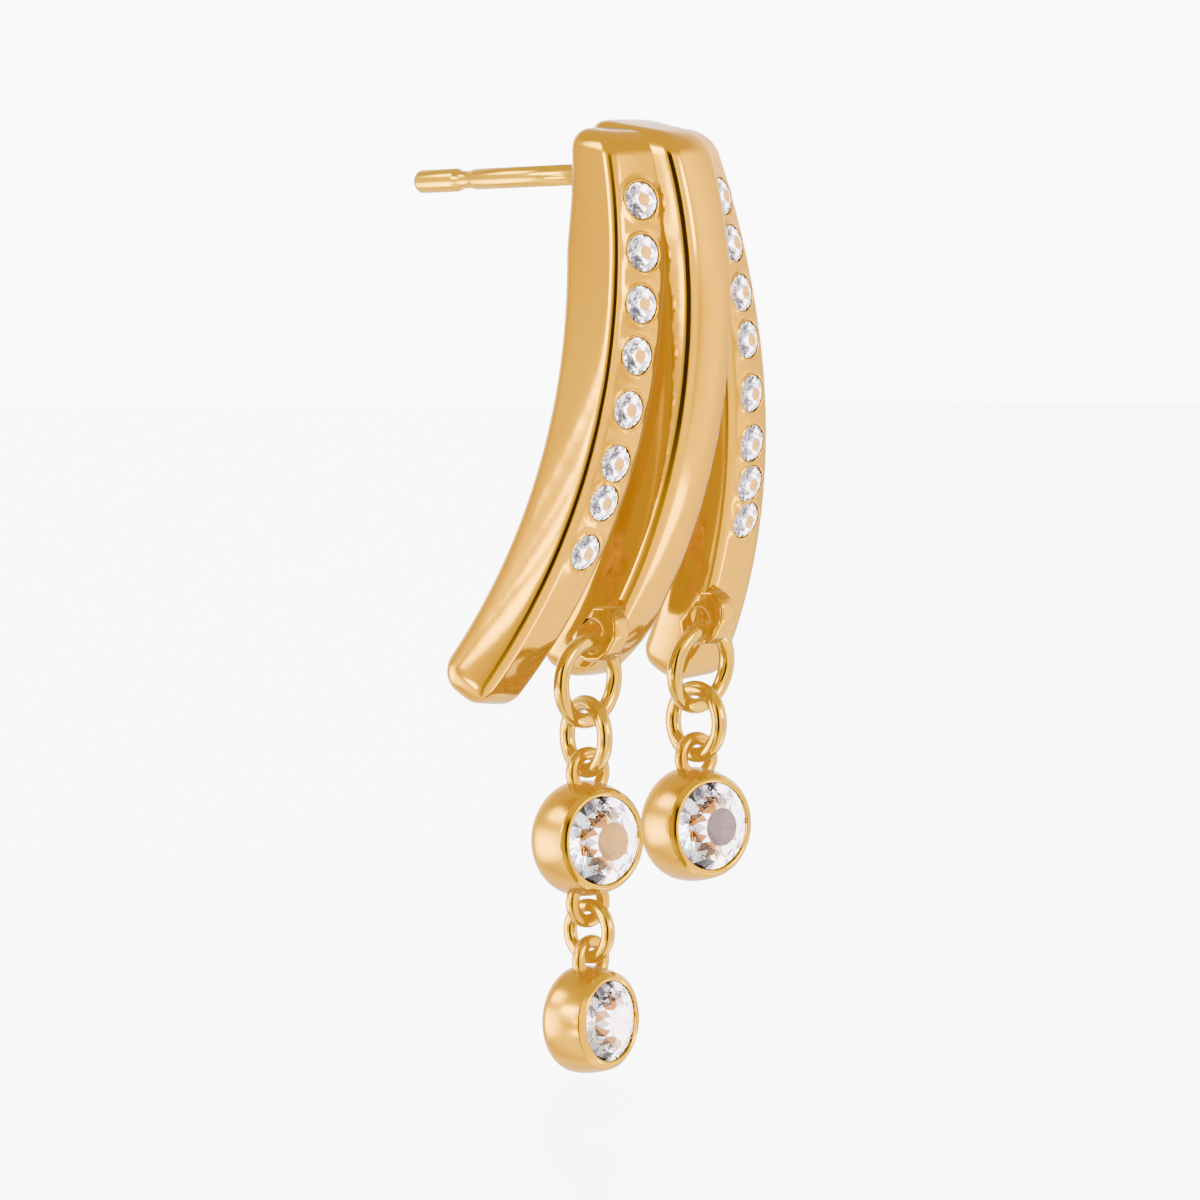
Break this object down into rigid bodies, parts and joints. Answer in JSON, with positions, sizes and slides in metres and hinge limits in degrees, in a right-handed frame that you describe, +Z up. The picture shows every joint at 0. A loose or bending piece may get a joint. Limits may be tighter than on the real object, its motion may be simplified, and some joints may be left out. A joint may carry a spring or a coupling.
{
  "type": "stud drop earring",
  "caption": "Polished post earring of splayed, curved bars under one crown, set with small crystals, with bezel-set crystal drops on jump rings.",
  "frame": {"origin": "where the ear post leaves the back of the crown", "axes": "+Z up along the bars, +Y back along the ear post, front face to -Y, +X to the right seen from the front"},
  "size_m": [0.0159, 0.0163, 0.0396],
  "materials": {
    "bar_frame": "gold plated, mirror polish",
    "centre_large_ring": "gold plated, mirror polish",
    "centre_small_ring": "gold plated, mirror polish",
    "centre_upper_bezel": "gold plated, mirror polish",
    "centre_link_ring": "gold plated, mirror polish",
    "centre_lower_bezel": "gold plated, mirror polish",
    "side_large_ring": "gold plated, mirror polish",
    "side_small_ring": "gold plated, mirror polish",
    "side_bezel": "gold plated, mirror polish",
    "centre_upper_stone": "faceted clear crystal, foil backed",
    "centre_lower_stone": "faceted clear crystal, foil backed",
    "side_stone": "faceted clear crystal, foil backed"
  },
  "bodies": {
    "root": {"bar_frame": "bar_frame", "centre_large_ring": "centre_large_ring", "centre_small_ring": "centre_small_ring", "centre_upper_bezel": "centre_upper_bezel", "centre_link_ring": "centre_link_ring", "centre_lower_bezel": "centre_lower_bezel", "side_large_ring": "side_large_ring", "side_small_ring": "side_small_ring", "side_bezel": "side_bezel", "centre_upper_stone": "centre_upper_stone", "centre_lower_stone": "centre_lower_stone", "side_stone": "side_stone"}
  },
  "joints": []
}
